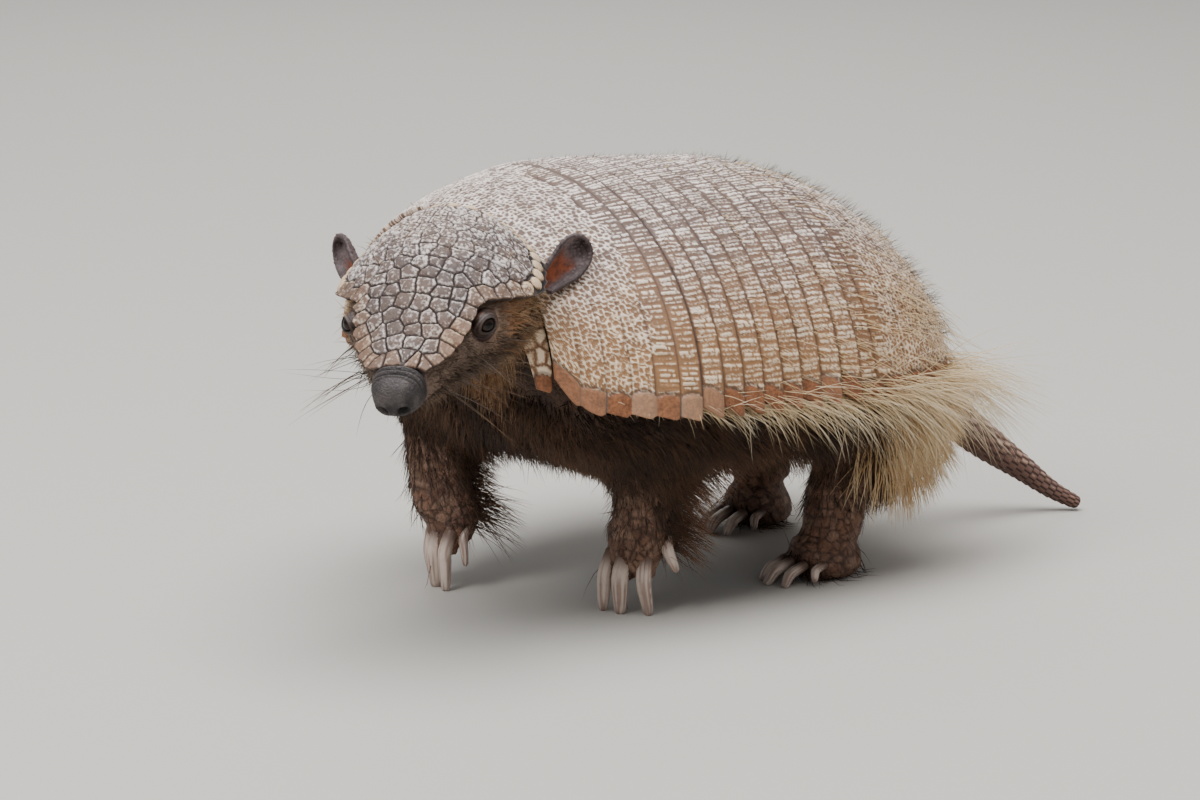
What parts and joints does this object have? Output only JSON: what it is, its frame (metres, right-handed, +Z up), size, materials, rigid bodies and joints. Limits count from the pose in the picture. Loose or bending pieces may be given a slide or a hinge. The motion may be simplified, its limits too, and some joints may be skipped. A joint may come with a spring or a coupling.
{
  "type": "armadillo",
  "caption": "Life-size model of a big hairy armadillo in mid step, with a banded bony shell, a head shield turned to its left, clawed feet and a tail lying on the ground.",
  "frame": {"origin": "on the ground, at the centre of the base of the whole animal's box", "axes": "+Z up, the body's length along Y with the chest towards -Y and the tail towards +Y, the animal's left side at +X"},
  "size_m": [0.1912, 0.4039, 0.1736],
  "materials": {
    "bone": "bony scutes, dull to satin",
    "hide": "leathery skin under coarse dark brown hair",
    "foot": "rough scaly skin",
    "tail": "rings of small bony scutes",
    "ear": "granular bare skin",
    "nose": "bare, slightly moist",
    "horn": "grooved horn, satin",
    "eye": "wet and glossy"
  },
  "bodies": {
    "root": {"nuchal_band": "bone", "scapular_shield": "bone", "band_1": "bone", "band_2": "bone", "band_3": "bone", "band_4": "bone", "band_5": "bone", "band_6": "bone", "band_7": "bone", "band_8": "bone", "pelvic_shield": "bone", "trunk": "hide", "head": "hide", "nose": "nose", "head_shield": "bone", "ear_left": "ear", "ear_right": "ear", "eye_left": "eye", "eye_right": "eye", "neck": "hide", "tail": "tail", "upper_leg_front_left": "hide", "lower_leg_front_left": "hide", "foot_front_left": "foot", "claw_front_left_1": "horn", "claw_front_left_2": "horn", "claw_front_left_3": "horn", "claw_front_left_4": "horn", "claw_front_left_5": "horn", "upper_leg_front_right": "hide", "lower_leg_front_right": "hide", "foot_front_right": "foot", "claw_front_right_1": "horn", "claw_front_right_2": "horn", "claw_front_right_3": "horn", "claw_front_right_4": "horn", "claw_front_right_5": "horn", "upper_leg_hind_left": "hide", "lower_leg_hind_left": "hide", "foot_hind_left": "foot", "claw_hind_left_1": "horn", "claw_hind_left_2": "horn", "claw_hind_left_3": "horn", "claw_hind_left_4": "horn", "claw_hind_left_5": "horn", "upper_leg_hind_right": "hide", "lower_leg_hind_right": "hide", "foot_hind_right": "foot", "claw_hind_right_1": "horn", "claw_hind_right_2": "horn", "claw_hind_right_3": "horn", "claw_hind_right_4": "horn", "claw_hind_right_5": "horn"}
  },
  "joints": []
}
